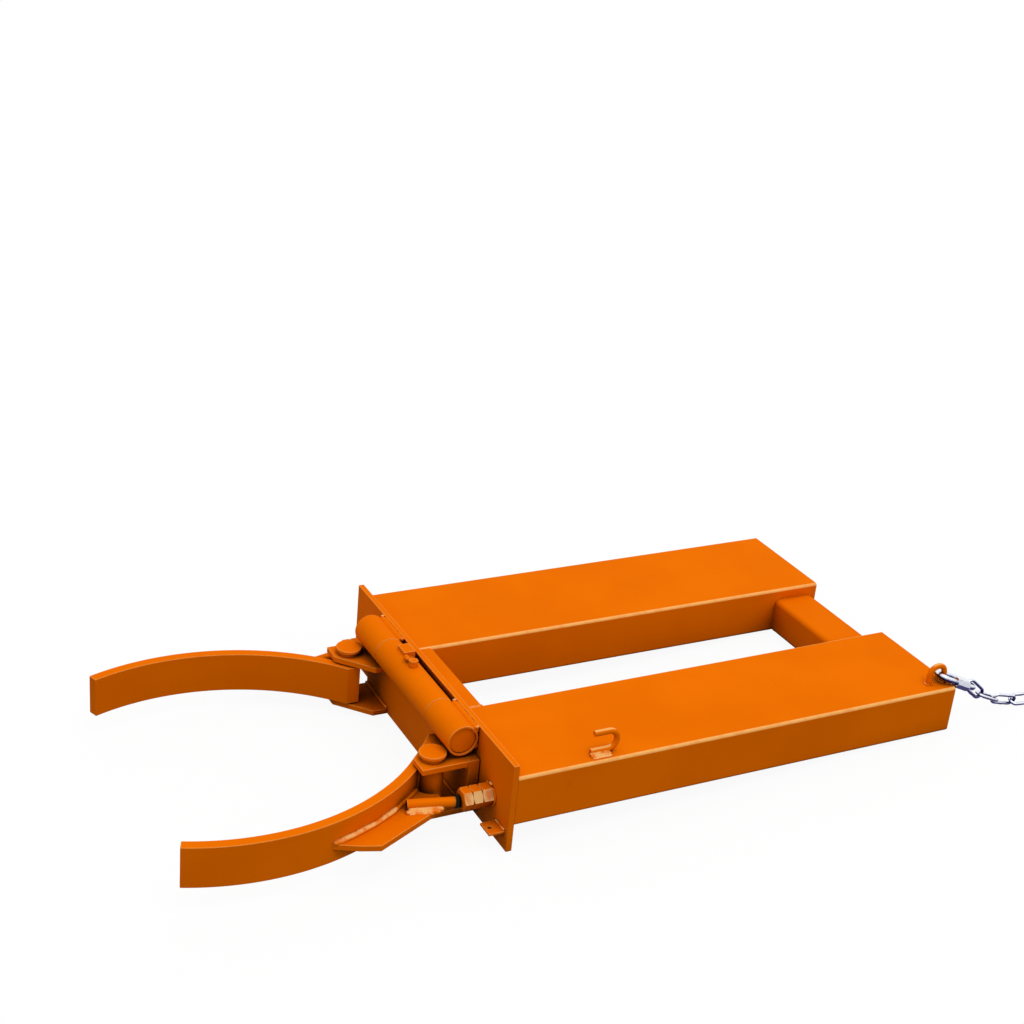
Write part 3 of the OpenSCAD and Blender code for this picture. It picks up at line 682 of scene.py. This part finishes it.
def jaw_welds(side, body):
    """The welds of one jaw, on the right for side 1 and on the left for side -1."""
    # hub to jaw, then the lever plate's upper and lower side to jaw
    # these runs take the weld finish's painted highlights
    highlit_runs = [([(x, y, -18.5), (x, y, 34.5)], 2.9, 1.1) for x, y in hub_seams()]
    highlit_runs += [(jaw_seam(1.1, 12.8, 33.0, LEVER_TOP + 0.7, 30), 4.6, 0.85)]
    highlit_runs += [(jaw_seam(1.4, 13.6, 42.0, LEVER_BASE - 1.2, 30), 2.8, 1.1)]
    # along both sides of the push rod, on the lever plate
    off_rod = Vector((ROD_WAY.y, -ROD_WAY.x, 0))
    for shift, begin, end, radius, lift in (
        (6.0, 0, 47, 4.7, 1.3), (9.6, -3, 42, 3.9, 0.2),
        (12.4, 1, 33, 3.0, -0.6), (-5.8, 2, 42, 3.4, 1.6),
    ):
        ends = [ROD_START + ROD_WAY * way + off_rod * shift for way in (begin, end)]
        highlit_runs += [([(p.x, p.y, LEVER_TOP + lift) for p in ends], radius, 0.9)]
    # the lever plate's upper side to jaw, at the root
    smooth = [(jaw_seam(0.9, 32.0, 42.3, LEVER_TOP + 0.5, 14), 3.8)]
    for name, material, runs in (
        (f"{body}_welds", weld_enamel, highlit_runs), (f"{body}_smooth_welds", smooth_enamel, smooth),
    ):
        runs = [(on_side(side, corners), *more) for corners, *more in runs]
        weld_piece(name, body, material, runs)


frame_welds()
carrier_welds()
jaw_welds(1, "jaw_right")
jaw_welds(-1, "jaw_left")


# Studio: white floor, as the lifter lies on its plate's edge and its sleeves' rear ends

SKY_LOW, SKY_HIGH, SKY_REAR = 0.6, 1.0, 0.3
WHITE = (1, 1, 1, 1)
FLOOR_BOUNCE = (0.06, 0.06, 0.06, 1)
FLOOR_GLOW = 0.93
FLOOR_DROP, FLOOR_HALF = 0.0005, 12.0
KEY_FROM, KEY_SPREAD, KEY_STRENGTH = Vector((0.38, 0.05, 0.92)), math.radians(20), 0.52


def seen_directly(f):
    """1 for a ray from the camera, a mirror or glass, and 0 for a ray that gathers light."""
    camera_ray, mirror_ray, glass_ray = (
        f.make("ShaderNodeLightPath", out=f"Is {kind} Ray")
        for kind in ("Camera", "Glossy", "Transmission")
    )
    return (camera_ray + mirror_ray + glass_ray).clipped()


def studio_white(name):
    """White to look at, and it still takes a shadow; it throws little light back."""
    f = Finish(bpy.data.materials.new(name))
    dim = f.make("ShaderNodeBsdfDiffuse", None, {"Color": FLOOR_BOUNCE})
    white = f.make("ShaderNodeBsdfDiffuse", None, {"Color": WHITE})
    glow = f.make("ShaderNodeEmission", None, {"Color": WHITE, "Strength": 1.0})
    lit = f.make("ShaderNodeMixShader", None, {0: FLOOR_GLOW, 1: white, 2: glow})
    shader = f.make("ShaderNodeMixShader", None, {0: seen_directly(f), 1: dim, 2: lit})
    f.make("ShaderNodeOutputMaterial", None, {"Surface": shader})
    return f.owner


def make_floor():
    """The floor under the lifter as it lies."""
    mesh = bmesh.new()
    corners = [(x * FLOOR_HALF, y * FLOOR_HALF) for x, y in ((-1, -1), (1, -1), (1, 1), (-1, 1))]
    mesh.faces.new([mesh.verts.new(floor_frame @ Vector((x, y, -FLOOR_DROP))) for x, y in corners])
    data = bpy.data.meshes.new("studio_floor")
    mesh.to_mesh(data)
    mesh.free()
    floor = add_object("studio_floor", data)
    finish_piece(floor, studio_white("studio_white"))


def make_world():
    """White to look at; as light, a soft sky, brightest overhead and a little dimmer in front."""
    world = bpy.data.worlds.new("studio_air")
    bpy.context.scene.world = world
    f = Finish(world)
    way = f.make("ShaderNodeTexCoord", out="Generated")
    level = f.make(
        "ShaderNodeMapRange",
        None,
        {
            "Value": f.along(way, "Z") + SKY_REAR * f.along(way, "Y"),
            "To Min": SKY_LOW, "To Max": SKY_HIGH,
        },
    )
    sky = f.make("ShaderNodeBackground", None, {"Color": level, "Strength": 1.0})
    white = f.make("ShaderNodeBackground", None, {"Color": WHITE, "Strength": 1.0})
    shade = f.make("ShaderNodeMixShader", None, {0: seen_directly(f), 1: sky, 2: white})
    f.make("ShaderNodeOutputWorld", None, {"Surface": shade})


def make_key_light():
    """A broad, even light from far off."""
    data = bpy.data.lights.new("key", "SUN")
    data.angle = KEY_SPREAD
    data.energy = KEY_STRENGTH
    add_object("key", data).rotation_euler = (-KEY_FROM).to_track_quat("-Z", "Y").to_euler()


make_floor()
make_world()
make_key_light()

bpy.context.scene.view_settings.view_transform = "Standard"
